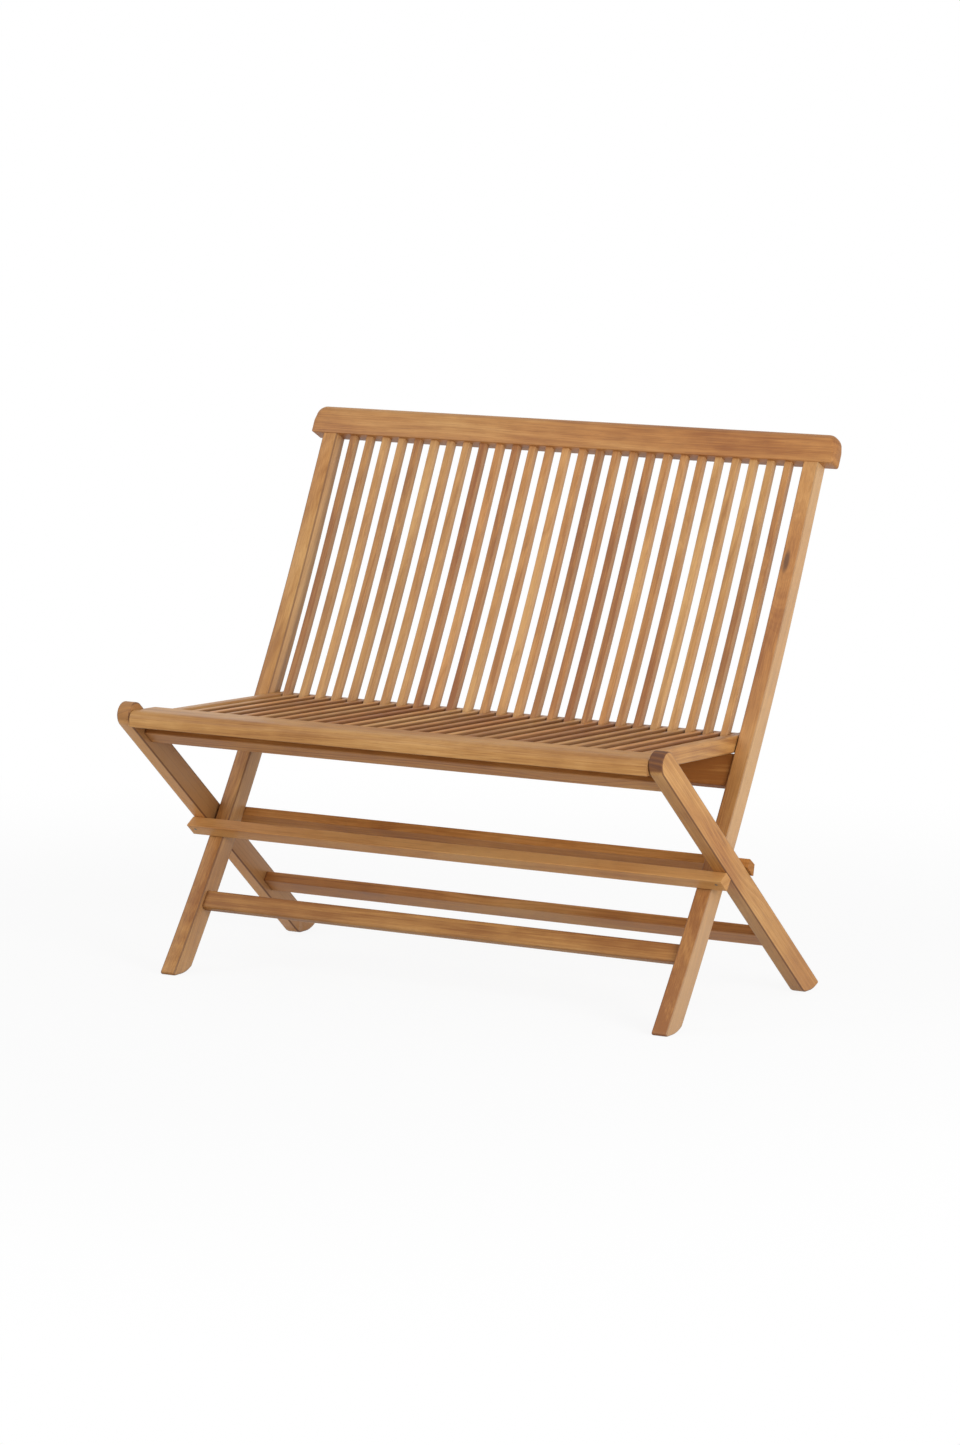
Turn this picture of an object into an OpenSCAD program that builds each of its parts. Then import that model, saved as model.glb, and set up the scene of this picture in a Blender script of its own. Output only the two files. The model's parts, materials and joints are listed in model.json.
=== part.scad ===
// Folding garden bench for two, with crossed legs and a seat and a back of interleaved slats.
// Lengths are in millimetres. X runs along the bench, Y points to its back and Z points up.
// The side view is drawn from the front toe of the back frame, then moved to the middle of the depth.

/* [Back frame] */
// Clear width between the two stiles of the back
inner_w = 860; // [700:10:1160]
// Thickness of a stile, along the bench
stile_w = 27; // [24:1:32]
// Depth of a stile at the floor
stile_foot_d = 40.5; // [38.5:0.5:42.5]
// Depth of a stile under the top rail
stile_top_d = 28.5; // [26.5:0.5:30.5]
// Height of the top rail's front lower edge above the floor
shoulder_h = 842; // [800:1:880]
// Lean of the stile from upright at the floor, in degrees
foot_lean = 37.3; // [36.8:0.1:37.6]
// Lean of the stile from upright under the top rail, in degrees
top_lean = 25.6; // [25:0.1:26.2]
// Radius of the bend in the stiles and in the back slats
bend_r = 4000; // [3950:10:4100]
// Round of the long edges of stiles and legs
frame_round = 2.5; // [2:0.5:4]
// Radius of the round under a foot, which lifts its heel
foot_round = 60; // [50:1:90]
// Height of a heel above the floor
foot_lift = 9; // [4:0.5:11]

/* [Top rail] */
// Length of the top rail past each stile
top_over = 25; // [18:1:60]
// Height of the top rail along the lean
top_h = 50; // [44:1:64]
// Depth of the top rail
top_d = 30; // [29:0.5:36]
// How far the top rail stands in front of the stiles
top_proud = 1.5; // [0.5:0.5:3]
// Round of the top rail's upper long edges
top_round = 12; // [6:1:14]
// Round of the top rail's upper corners, seen from the front
top_corner = 14; // [6:1:20]
// Round of the top rail's ends, seen from above, and of their lower corners
top_end_round = 6; // [2:0.5:9]

/* [Back slats] */
// Number of back slats
back_slats = 27; // [15:2:27]
// Width of a back slat, along the bench
slat_w = 12; // [10:0.5:13]
// Depth of a back slat
slat_d = 14; // [12:0.5:15]
// Distance of the slats behind the front face of the stiles
slat_back = 5; // [4:0.5:7]
// Gap between a stile and the first slat
end_gap = 23; // [21:0.5:28]
// Round of the long edges of the back slats
slat_round = 2.5; // [1:0.5:4]
// Width and depth of the tenons on the slats
slat_tenon = 8; // [6:0.5:9]
// Length of the tenons on the slats
slat_tenon_l = 12; // [8:1:20]

/* [Lower back rail] */
// Height of the lower back rail along the lean
board_h = 55; // [50:1:66]
// Depth of the lower back rail
board_d = 17; // [15:0.5:22]
// Distance of the lower back rail behind the front face of the stiles
board_back = 5; // [4:0.5:7]
// Round of the lower back rail's edges
board_round = 3; // [1:0.5:4]

/* [Legs] */
// Thickness of a leg, along the bench
leg_w = 24; // [22:1:30]
// Width of a leg, seen from the side
leg_d = 41; // [39:0.5:43]
// Angle of the leg above the floor, in degrees
leg_rise = 38.85; // [38.4:0.05:39.3]
// Distance along the leg from the cross pivot to the seat pivot
leg_reach = 317; // [313:1:323]
// Height of the stile's front face level with the cross pivot
pivot_h = 239.3; // [235:0.1:244]
// Gap between a stile and a leg, filled by the pivot washer
leg_gap = 3; // [2.5:0.5:5]

/* [Cross rails] */
// Thickness of the stretcher between the stiles
front_stretcher_d = 16; // [14:0.5:20]
// Height of the stretcher between the stiles
front_stretcher_h = 31; // [28:1:38]
// Height of that stretcher's lower edge, along the front face of the stiles
front_stretcher_z = 105.5; // [80:0.5:115]
// Distance of that stretcher behind the front face of the stiles
front_stretcher_back = 7.5; // [6:0.5:10]
// Round of that stretcher's edges
front_stretcher_round = 4; // [2:0.5:5]
// Thickness of the stretcher between the legs
rear_stretcher_d = 18; // [14:0.5:20]
// Width of the stretcher between the legs, along the leg
rear_stretcher_h = 34.5; // [28:0.5:38]
// Distance along the leg from the cross pivot down to the middle of that stretcher
rear_stretcher_t = 200; // [185:1:212]
// Thickness of the rail under the front of the seat
under_rail_d = 14; // [12:0.5:16]
// Width of the rail under the front of the seat, along the leg
under_rail_h = 28.5; // [24:0.5:29]
// Distance along the leg from the seat pivot down to that rail's lower edge
under_rail_drop = 65; // [64:1:72]
// Distance of that rail behind the lower face of the leg
under_rail_in = 10; // [8:0.5:11]
// Thickness of the rail in front of the crossing
front_mid_d = 22; // [18:0.5:24]
// Thickness of the rail behind the crossing
rear_mid_d = 20; // [18:0.5:22]
// How far the rear mid rail stands out past the legs
rear_mid_over = 3; // [0:0.5:5]
// Round of the edges of the mid rails, the under rail and the stretcher between the legs
rail_round = 2; // [1:0.25:3]
// Width of the front mid rail where it lies on the legs
front_mid_seat = 20.5; // [17:0.5:22]
// Width of the front mid rail's outer face
front_mid_face = 29; // [24:0.5:31]
// Width of the rear mid rail where it lies on the stiles
rear_mid_seat = 15; // [13:0.5:20]
// Length of the rear mid rail's lower face, which the leg meets
rear_mid_face = 27; // [24:0.5:28]
// Length of the tenons on the cross rails
rail_tenon_l = 12; // [8:1:16]

/* [Seat] */
// Fall of the seat to the back, in degrees
seat_tilt = 1.5; // [1:0.1:2]
// Height of the seat's top above the seat pivot
seat_rise = 9; // [8.5:0.5:10]
// Distance of the seat's front edge in front of the seat pivot
seat_nose = 22.5; // [20:0.5:23]
// Depth of the seat's front rail
seat_front_d = 74.5; // [60:0.5:76]
// Height of the seat's front rail
seat_front_h = 26; // [24:0.5:26.5]
// Round of the front rail's upper front edge
seat_front_round = 13; // [6:1:14]
// Gap between the back slats and the seat's rear rail, which closes as the seat swings
seat_rear_gap = 22.5; // [21.5:0.5:30]
// Thickness of the seat's rear rail
seat_rear_d = 16; // [14:0.5:20]
// Height of the seat's rear rail
seat_rear_h = 28; // [24:0.5:29]
// Distance of the rear rail's top below the seat's top
seat_rear_drop = 3; // [2:0.5:5]
// Height of the seat's side rails
side_h = 27; // [24:0.5:29]
// Gap between a side rail and the stile beside it
side_gap = 1.5; // [1:0.25:3]
// Width of a seat slat
seat_slat_w = 13; // [10:0.5:14]
// Height of a seat slat
seat_slat_h = 16; // [12:0.5:18]
// Round of the seat slats' edges
seat_slat_round = 3; // [1:0.5:4]
// Gap between the end of the seat's front rail and the knuckle of the leg
knuckle_gap = 0.6; // [0.5:0.1:3]

/* [Hardware] */
// Diameter of the pivot pins
pin_dia = 10; // [8:0.5:12]
// Wood left over the blind end of each pivot pin
pin_cover = 6; // [4:0.5:8]
// Depth of the seat pin in the seat's front rail
seat_pin_in = 20; // [14:1:30]
// Diameter of the pivot washers
washer_dia = 22; // [18:0.5:26]
// Diameter of the dowels that hold the mid rails
dowel_dia = 8; // [6:0.5:10]
// Length of those dowels
dowel_l = 26; // [20:1:28]

/* [Hidden] */
// Room around a tenon in its mortise, and between faces that meet
seat_clear = 0.2;
// Radial room of a pin that turns in its bore
turn_clear = 0.05;
// Radial room of a pin or a dowel that stays in its bore
hold_clear = 0.02;
// Least distance between faces that come together when the bench moves
stop_clear = 0.3;
// Height from which the stiles run straight
bend_top = bend_r * (sin(foot_lean) - sin(top_lean));
// Depth that a stile loses for each millimetre of height
stile_taper = (stile_foot_d - stile_top_d) / shoulder_h;
// Thickness of the tenons on the cross rails
rail_tenon_d = 10;
// Shoulders over and under the tenons of the lower back rail, of the stretcher between the
// stiles and of the rails between the legs
board_shoulder = 8;
front_stretcher_shoulder = 6;
leg_rail_shoulder = 5;
// Side and length of the tenon at the top of a stile
stile_tenon = 14;
stile_tenon_l = 30;
// Side of the tenons at the ends of the seat slats and of the side rails
seat_tenon_d = 8;
// Round of the top rail's lower edges
top_under_round = 3;
// Round of the side rails' edges, and of the seat's rear rail
side_round = 3;
seat_rear_round = 4;
// Round that stays on the mid rails where they lie on stiles or legs
joint_round = 0.5;
// Steps that draw a rounded corner of a swept member or of a mid rail
corner_steps = 3;
// Length of a swept stile below the floor, which is sawn off
foot_waste = 60;
// Length of a foot's round along the floor
foot_run = sqrt(foot_round * foot_round - (foot_round - foot_lift) * (foot_round - foot_lift));

stile_in = inner_w / 2;
stile_out = stile_in + stile_w;
leg_in = stile_out + leg_gap;
leg_out = leg_in + leg_w;
slat_first = stile_in - end_gap - slat_w / 2;
slat_pitch = 2 * slat_first / (back_slats - 1);

// Lean of the front face of the stile at a height
function lean_at(h) = h < bend_top ? asin(sin(foot_lean) - h / bend_r) : top_lean;
// Distance of the front face of the stile behind its toe, at a height
function front_y(h) = h < bend_top
    ? bend_r * (cos(lean_at(h)) - cos(foot_lean))
    : bend_r * (cos(top_lean) - cos(foot_lean)) + (h - bend_top) * tan(top_lean);
// Depth of the stile at a height
function stile_depth(h) = stile_foot_d - stile_taper * h;
// Point of the side view at a height on the front face of the stile, moved straight back
function on_stile(h, back) = [front_y(h) + back * cos(lean_at(h)), h - back * sin(lean_at(h))];

// Cross pivot, in the middle of the stile
pivot_half = stile_depth(pivot_h) / 2;
pivot = on_stile(pivot_h, pivot_half);
pivot_lean = lean_at(pivot_h);
// Point of the side view at a distance up the leg from the cross pivot and behind its middle line
function on_leg(up, back) = pivot
    + up * [-cos(leg_rise), sin(leg_rise)]
    + back * [sin(leg_rise), cos(leg_rise)];
knuckle = on_leg(leg_reach, 0);
// Place of a point of the seat behind the toe of the stile
function seat_y(back, up) = knuckle[0] + back * cos(seat_tilt) + up * sin(seat_tilt);
// Front end of the bench, at the round of the seat's front rail
front_end = seat_y(seat_front_round - seat_nose, seat_rise - seat_front_round) - seat_front_round;
// Rear end of the bench, at the upper round of the top rail
rear_end = top_round + on_stile(shoulder_h, top_d - top_proud - top_round)[0]
    + (top_h - top_round) * sin(top_lean);
// Places where the rounds of the feet start
stile_foot_start = stile_foot_d / cos(foot_lean) + foot_lift * tan(foot_lean) - foot_run;
leg_foot_start = on_leg(-pivot[1] / sin(leg_rise), 0)[0] + leg_d / 2 / sin(leg_rise)
    - foot_lift / tan(leg_rise) - foot_run;
// Middle of the bench's depth
middle_y = (front_end + rear_end) / 2;
// Angle between the upper half of the leg and the upper half of the stile
open_angle = 90 - leg_rise + pivot_lean;
// Place along the leg where the front mid rail meets the front face of the stiles
front_mid_t = (pivot_half + stop_clear - leg_d / 2 * cos(open_angle)) / sin(open_angle);
// Place along the stile where the rear mid rail meets the upper face of the legs
function rear_mid_t(back) = (leg_d / 2 + stop_clear - back * cos(open_angle)) / sin(open_angle);

// Height of the lower back rail's upper front edge, on which the side rails rest
rest_y = front_y(knuckle[1] - side_h) - knuckle[0];
rest_h = knuckle[1] + (seat_rise - side_h) * cos(seat_tilt) - rest_y * sin(seat_tilt) - stop_clear;
board_top = rest_h + board_back * sin(lean_at(rest_h));
board_lean = lean_at(board_top);
under_rail_t = leg_reach - under_rail_drop;
// Height of the seat's rear rail, where the back slats come nearest to it
rear_top_h = rest_h + side_h - seat_rear_drop;
slat_rear = slat_back + slat_d;
// Distance from the seat pivot to the front face of the seat's rear rail
seat_reach = on_stile(rear_top_h + slat_rear * sin(lean_at(rear_top_h)), slat_rear)[0]
    - knuckle[0] + seat_rear_gap;

side_in = slat_first + slat_w / 2 + (slat_pitch - slat_w - seat_slat_w) / 2;
side_out = stile_in - side_gap;
front_rail_end = leg_in - knuckle_gap;

$fn = 64;
big = 2000;

// Places its children at a point of the side view, turned about the long axis
module place(point, turn) {
    translate([0, point[0] - middle_y, point[1]])
        rotate([turn, 0, 0])
            children();
}

// Frame of the seat: origin on the seat pivot, Y along the seat to the back
module seat_frame() {
    place(knuckle, -seat_tilt) children();
}

// Frame of the legs: origin on the cross pivot, Z up the leg, Y to its upper side
module leg_frame() {
    place(pivot, 90 - leg_rise) children();
}

// Draws a side-view outline out along the bench, from one place to another
module along(from, to) {
    translate([from, 0, 0])
        rotate([90, 0, 90])
            linear_extrude(to - from)
                children();
}

// Both sides of the bench, from what is drawn on the right-hand side
module both() {
    children();
    mirror([1, 0, 0]) children();
}

// Rectangle with rounded corners, from a lower left corner
module rounded(corner, size, r) {
    translate(corner) {
        translate([r, 0]) square([size[0] - 2 * r, size[1]]);
        translate([0, r]) square([size[0], size[1] - 2 * r]);
        for (u = [r, size[0] - r], v = [r, size[1] - r])
            translate([u, v]) circle(r);
    }
}

// Corners of an outline, each drawn as an arc of its own radius
function eased(points, radii, steps) = [
    for (i = [0 : len(points) - 1])
        let (
            p = points[i],
            before = points[(i + len(points) - 1) % len(points)] - p,
            after = points[(i + 1) % len(points)] - p,
            a = before / norm(before),
            b = after / norm(after),
            half = acos(a * b) / 2,
            middle = p + (a + b) / norm(a + b) * radii[i] / sin(half),
            from = p + a * radii[i] / tan(half) - middle,
            to = p + b * radii[i] / tan(half) - middle
        )
            for (k = [0 : steps])
                middle + (from * sin((90 - half) * 2 * (1 - k / steps))
                    + to * sin((90 - half) * 2 * k / steps)) / sin((90 - half) * 2)
];

// What comes off a foot on the right-hand side: all below the floor, and a round under the
// heel, which starts at a place behind the toe of the stile
module foot_cut(x0, x1, start) {
    translate([0, -big / 2, -big]) cube([big, big, big]);
    translate([x0 - 1, start - middle_y, 0])
        difference() {
            translate([0, 0, -1])
                cube([x1 - x0 + 2, foot_run + 2 * foot_lift, foot_lift + 1]);
            translate([-1, 0, foot_round])
                rotate([0, 90, 0])
                    cylinder(r = foot_round, h = x1 - x0 + 4, $fn = 180);
        }
}

// Rounded section of a swept member, as pairs of X and distance behind the front face
function section(x0, x1, b0, b1, r) = [
    for (c = [[x1 - r, b1 - r, 0], [x0 + r, b1 - r, 90], [x0 + r, b0 + r, 180], [x1 - r, b0 + r, 270]])
        for (i = [0 : corner_steps])
            [c[0] + r * cos(c[2] + 90 * i / corner_steps), c[1] + r * sin(c[2] + 90 * i / corner_steps)]
];

// Member that follows the front face of the stiles from one height to another.
// Its depth changes evenly with the height.
module swept(x0, x1, h0, h1, back, d0, d1, r, steps) {
    corners = 4 * (corner_steps + 1);
    points = [
        for (i = [0 : steps])
            let (h = h0 + (h1 - h0) * i / steps, d = d0 + (d1 - d0) * i / steps)
                for (p = section(x0, x1, back, back + d, r))
                    let (q = on_stile(h, p[1])) [p[0], q[0] - middle_y, q[1]]
    ];
    sides = [
        for (i = [0 : steps - 1], j = [0 : corners - 1])
            let (a = i * corners + j, b = i * corners + (j + 1) % corners)
                each [[a, a + corners, b + corners], [a, b + corners, b]]
    ];
    bottom = [for (j = [0 : corners - 1]) j];
    top = [for (j = [corners - 1 : -1 : 0]) steps * corners + j];
    polyhedron(concat(points), concat(sides, [bottom], [top]), convexity = 4);
}

// Tenon that stands on a height of the front face of the stiles, pointing up or down the lean
module lean_tenon(x, h, back, w, d, l, room) {
    translate([x, 0, 0])
        place(on_stile(h, back), -lean_at(h))
            translate([-w / 2 - room, -d / 2 - room, min(l, 0) - (l < 0 ? room : 1)])
                cube([w + 2 * room, d + 2 * room, abs(l) + 1 + room]);
}

// Outline of a cross rail's tenon, in the frame of the rail, drawn about its middle
module tenon_outline(middle, h, room) {
    translate([middle[0] - rail_tenon_d / 2 - room, middle[1] - h / 2 - room])
        square([rail_tenon_d + 2 * room, h + 2 * room]);
}

// Frame of the lower back rail: origin on the front face of the stiles, Z up the rail
module board_frame() {
    place(on_stile(board_top, 0), -board_lean) children();
}

// Frame of the stretcher between the stiles, in the same way
module front_stretcher_frame() {
    place(on_stile(front_stretcher_z, 0), -lean_at(front_stretcher_z + front_stretcher_h / 2))
        children();
}

// Frame of the top rail, in the same way
module top_frame() {
    place(on_stile(shoulder_h, 0), -top_lean) children();
}

// Frame of the stile at the cross pivot: Z up the stile, Y to its back
module pivot_frame() {
    place(pivot, -pivot_lean) children();
}

board_middle = [board_back + board_d / 2, -board_h / 2];
front_stretcher_middle = [front_stretcher_back + front_stretcher_d / 2, front_stretcher_h / 2];
rear_stretcher_middle = [0, -rear_stretcher_t];
under_rail_middle = [under_rail_in + under_rail_d / 2 - leg_d / 2, under_rail_t + under_rail_h / 2];

// Stile on the right-hand side, from its foot to the tenon in the top rail
module stile() {
    difference() {
        union() {
            difference() {
                swept(stile_in, stile_out, -foot_waste, shoulder_h - seat_clear, 0,
                    stile_depth(-foot_waste), stile_top_d, frame_round, 22);
                foot_cut(stile_in, stile_out, stile_foot_start);
            }
            lean_tenon(stile_in + stile_w / 2, shoulder_h, stile_top_d / 2, stile_tenon,
                stile_tenon, stile_tenon_l, 0);
        }
        board_frame()
            along(stile_in - 1, stile_in + rail_tenon_l + seat_clear)
                tenon_outline(board_middle, board_h - 2 * board_shoulder, seat_clear);
        front_stretcher_frame()
            along(stile_in - 1, stile_in + rail_tenon_l + seat_clear)
                tenon_outline(front_stretcher_middle,
                    front_stretcher_h - 2 * front_stretcher_shoulder, seat_clear);
        place(pivot, 0)
            along(stile_in + pin_cover, stile_out + 1)
                circle(pin_dia / 2 + hold_clear);
        pivot_frame() rear_dowels(hold_clear);
    }
}

module stile_right() {
    color("#b98250") stile();
}

module stile_left() {
    color("#b07a49") mirror([1, 0, 0]) stile();
}

// Rail across the top of the back, with rounded upper edges and corners
module top_rail() {
    half = stile_out + top_over;
    color("#b98453") difference() {
        top_frame() intersection() {
            along(-half, half) {
                rounded([-top_proud, 0], [top_d, top_h - top_round], top_under_round);
                translate([-top_proud, top_under_round])
                    square([top_d, top_h - top_round - top_under_round]);
                translate([top_round - top_proud, top_under_round])
                    square([top_d - 2 * top_round, top_h - top_under_round]);
                for (y = [top_round - top_proud, top_d - top_proud - top_round])
                    translate([y, top_h - top_round]) circle(top_round);
            }
            translate([0, big / 2, 0])
                rotate([90, 0, 0])
                    linear_extrude(big) {
                        translate([-half, top_end_round])
                            square([2 * half, top_h - top_corner - top_end_round]);
                        translate([top_end_round - half, 0])
                            square([2 * (half - top_end_round), top_end_round]);
                        translate([top_corner - half, 0])
                            square([2 * (half - top_corner), top_h]);
                        for (side = [-1, 1]) {
                            translate([side * (half - top_corner), top_h - top_corner])
                                circle(top_corner);
                            translate([side * (half - top_end_round), top_end_round])
                                circle(top_end_round);
                        }
                    }
            linear_extrude(top_h)
                rounded([-half, -top_proud], [2 * half, top_d], top_end_round);
        }
        both()
            lean_tenon(stile_in + stile_w / 2, shoulder_h, stile_top_d / 2, stile_tenon,
                stile_tenon, stile_tenon_l, seat_clear);
        for (i = [0 : back_slats - 1])
            lean_tenon(slat_pitch * i - slat_first, shoulder_h, slat_back + slat_d / 2, slat_tenon,
                slat_tenon, slat_tenon_l, seat_clear);
    }
}

// Rail between the stiles that carries the lower ends of the back slats and the rear of the seat
module lower_back_rail() {
    color("#a2693a") difference() {
        board_frame() {
            along(-stile_in + seat_clear, stile_in - seat_clear)
                rounded([board_back, -board_h], [board_d, board_h], board_round);
            along(-stile_in - rail_tenon_l, stile_in + rail_tenon_l)
                tenon_outline(board_middle, board_h - 2 * board_shoulder, 0);
        }
        for (i = [0 : back_slats - 1])
            lean_tenon(slat_pitch * i - slat_first, board_top, slat_back + slat_d / 2, slat_tenon,
                slat_tenon, -slat_tenon_l, seat_clear);
    }
}

// Low stretcher between the stiles
module front_stretcher() {
    color("#b27c4a") front_stretcher_frame() {
        along(-stile_in + seat_clear, stile_in - seat_clear)
            rounded([front_stretcher_back, 0], [front_stretcher_d, front_stretcher_h],
                front_stretcher_round);
        along(-stile_in - rail_tenon_l, stile_in + rail_tenon_l)
            tenon_outline(front_stretcher_middle, front_stretcher_h - 2 * front_stretcher_shoulder, 0);
    }
}

// Back slat at a place in the row, numbered from the left
module back_slat(i) {
    x = slat_pitch * i - slat_first;
    middle = slat_back + slat_d / 2;
    swept(x - slat_w / 2, x + slat_w / 2, board_top + stop_clear, shoulder_h - stop_clear, slat_back,
        slat_d, slat_d, slat_round, 10);
    lean_tenon(x, board_top, middle, slat_tenon, slat_tenon, -slat_tenon_l, 0);
    lean_tenon(x, shoulder_h, middle, slat_tenon, slat_tenon, slat_tenon_l, 0);
}

// Dowel through the face that two members share, square to it, with its middle in the face
module dowel(room) {
    cylinder(d = dowel_dia + 2 * room, h = dowel_l + 2 * room, center = true);
}

// Dowels of the rear mid rail, in the frame of the stile at the cross pivot
module rear_dowels(room) {
    both()
        translate([stile_in + stile_w / 2, pivot_half, rear_mid_t(pivot_half) + rear_mid_seat / 2])
            rotate([90, 0, 0])
                dowel(room);
}

// Rail behind the crossing, doweled to the back of the stiles, which the legs meet
module rear_mid_rail() {
    b0 = pivot_half + seat_clear;
    b1 = pivot_half + rear_mid_d;
    b2 = pivot_half + rear_mid_face;
    top = rear_mid_t(b0) + rear_mid_seat;
    corners = [[b0, rear_mid_t(b0)], [b2, rear_mid_t(b2)], [b1, top], [b0, top]];
    color("#94602f") pivot_frame() difference() {
        along(-leg_out - rear_mid_over, leg_out + rear_mid_over)
            polygon(eased(corners, [joint_round, rail_round, rail_round, joint_round],
                corner_steps));
        rear_dowels(hold_clear);
    }
}

module rear_rail_dowels() {
    color("#a8774a") pivot_frame() rear_dowels(0);
}

// Steel pins on which the legs cross the stiles
module pivot_pins() {
    color("#8f9296") both()
        place(pivot, 0)
            along(stile_in + pin_cover + hold_clear, leg_out - pin_cover - stop_clear)
                circle(pin_dia / 2);
}

// Washers between the stiles and the legs
module pivot_washers() {
    color("#a3a6aa") both()
        place(pivot, 0)
            along(stile_out + seat_clear, leg_in - seat_clear)
                difference() {
                    circle(washer_dia / 2);
                    circle(pin_dia / 2 + turn_clear);
                }
}

// Leg on the right-hand side, with a rounded knuckle at its top
module leg() {
    foot = pivot[1] / sin(leg_rise) + leg_d;
    difference() {
        leg_frame() {
            translate([leg_in, -leg_d / 2, -foot])
                linear_extrude(foot + leg_reach)
                    rounded([0, 0], [leg_w, leg_d], frame_round);
            translate([leg_in, 0, leg_reach])
                rotate([0, 90, 0])
                    rotate_extrude($fn = 96)
                        intersection() {
                            rounded([-leg_d / 2, 0], [leg_d, leg_w], frame_round);
                            square([leg_d, leg_w]);
                        }
        }
        foot_cut(leg_in, leg_out, leg_foot_start);
        place(pivot, 0)
            along(leg_in - 1, leg_out - pin_cover)
                circle(pin_dia / 2 + turn_clear);
        place(knuckle, 0)
            along(leg_in - 1, leg_out - pin_cover)
                circle(pin_dia / 2 + hold_clear);
        leg_frame() {
            along(leg_in - 1, leg_in + rail_tenon_l + seat_clear) {
                tenon_outline(rear_stretcher_middle, rear_stretcher_h - 2 * leg_rail_shoulder, seat_clear);
                tenon_outline(under_rail_middle, under_rail_h - 2 * leg_rail_shoulder, seat_clear);
            }
            front_dowels(hold_clear);
        }
    }
}

module leg_right() {
    color("#bd8755") leg();
}

module leg_left() {
    color("#b07a48") mirror([1, 0, 0]) leg();
}

// Stretcher low between the legs
module rear_stretcher() {
    color("#a06a3a") leg_frame() {
        along(-leg_in + seat_clear, leg_in - seat_clear)
            rounded(rear_stretcher_middle - [rear_stretcher_d, rear_stretcher_h] / 2,
                [rear_stretcher_d, rear_stretcher_h], rail_round);
        along(-leg_in - rail_tenon_l, leg_in + rail_tenon_l)
            tenon_outline(rear_stretcher_middle, rear_stretcher_h - 2 * leg_rail_shoulder, 0);
    }
}

// Rail between the legs under the front of the seat
module under_rail() {
    color("#a87242") leg_frame() {
        along(-leg_in + seat_clear, leg_in - seat_clear)
            rounded(under_rail_middle - [under_rail_d, under_rail_h] / 2,
                [under_rail_d, under_rail_h], rail_round);
        along(-leg_in - rail_tenon_l, leg_in + rail_tenon_l)
            tenon_outline(under_rail_middle, under_rail_h - 2 * leg_rail_shoulder, 0);
    }
}

// Dowels of the front mid rail, in the frame of the legs
module front_dowels(room) {
    both()
        translate([leg_in + leg_w / 2, -leg_d / 2, front_mid_t + front_mid_seat / 2])
            rotate([90, 0, 0])
                dowel(room);
}

// Rail in front of the crossing, doweled to the legs, which meets the stiles
module front_mid_rail() {
    b0 = -leg_d / 2 - seat_clear;
    b1 = -leg_d / 2 - front_mid_d;
    corners = [
        [b0, front_mid_t],
        [b0, front_mid_t + front_mid_seat],
        [b1, front_mid_t + front_mid_face],
        [b1, front_mid_t]
    ];
    color("#b8824f") leg_frame() difference() {
        along(-leg_out, leg_out)
            polygon(eased(corners, [joint_round, joint_round, rail_round, rail_round],
                corner_steps));
        front_dowels(hold_clear);
    }
}

module front_rail_dowels() {
    color("#a8774a") leg_frame() front_dowels(0);
}

// Steel pins that join the knuckles of the legs to the seat's front rail
module seat_pins() {
    color("#8f9296") both()
        place(knuckle, 0)
            along(front_rail_end - seat_pin_in + stop_clear, leg_out - pin_cover - hold_clear)
                circle(pin_dia / 2);
}

// Tenon at an end of a seat slat or a side rail, which runs along the seat
module seat_tenon(x, y, room) {
    side = seat_tenon_d + 2 * room;
    translate([x - side / 2, y - slat_tenon_l - room, seat_rise - (seat_slat_h + side) / 2])
        cube([side, 2 * (slat_tenon_l + room), side]);
}

// Places of the seat slats and the side rails along the bench
seat_places = concat(
    [for (i = [0 : back_slats - 2]) slat_pitch * (i + 0.5) - slat_first],
    [-(side_in + side_out) / 2, (side_in + side_out) / 2]
);

// Front rail of the seat, between the knuckles of the legs
module seat_front_rail() {
    r = seat_front_round;
    bottom = seat_rise - seat_front_h;
    color("#bb8551") difference() {
        seat_frame() along(-front_rail_end, front_rail_end) {
            translate([r - seat_nose, bottom]) square([seat_front_d - r, seat_front_h]);
            translate([-seat_nose, bottom]) square([seat_front_d, seat_front_h - r]);
            translate([r - seat_nose, seat_rise - r]) circle(r);
        }
        seat_frame()
            for (x = seat_places)
                seat_tenon(x, seat_front_d - seat_nose, seat_clear);
        both()
            place(knuckle, 0)
                along(front_rail_end - seat_pin_in, front_rail_end + 1)
                    circle(pin_dia / 2 + turn_clear);
    }
}

// Rear rail of the seat, behind the back slats
module seat_rear_rail() {
    color("#a8794c") seat_frame() difference() {
        along(-side_out, side_out)
            rounded([seat_reach, seat_rise - seat_rear_drop - seat_rear_h],
                [seat_rear_d, seat_rear_h], seat_rear_round);
        for (x = seat_places)
            seat_tenon(x, seat_reach, seat_clear);
    }
}

// Bar that runs along the seat from its front rail to its rear rail, with a tenon at each end
module seat_bar(x, w, h, r) {
    y0 = seat_front_d - seat_nose + seat_clear;
    y1 = seat_reach - seat_clear;
    translate([0, y1, 0])
        rotate([90, 0, 0])
            linear_extrude(y1 - y0)
                rounded([x - w / 2, seat_rise - h], [w, h], r);
    intersection() {
        union() {
            seat_tenon(x, y0, 0);
            seat_tenon(x, y1, 0);
        }
        translate([x - w, y0 - slat_tenon_l + seat_clear, -big / 2])
            cube([2 * w, y1 - y0 + 2 * slat_tenon_l - 2 * seat_clear, big]);
    }
}

module side_rail() {
    seat_frame() seat_bar((side_in + side_out) / 2, side_out - side_in, side_h, side_round);
}

module seat_side_right() {
    color("#bb8653") side_rail();
}

module seat_side_left() {
    color("#a97443") mirror([1, 0, 0]) side_rail();
}

// Two neighbouring seat slats, numbered from the left
module seat_slats(pair) {
    for (i = [2 * pair, 2 * pair + 1])
        if (i < back_slats - 1)
            seat_frame() seat_bar(seat_places[i], seat_slat_w, seat_slat_h, seat_slat_round);
}

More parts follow.
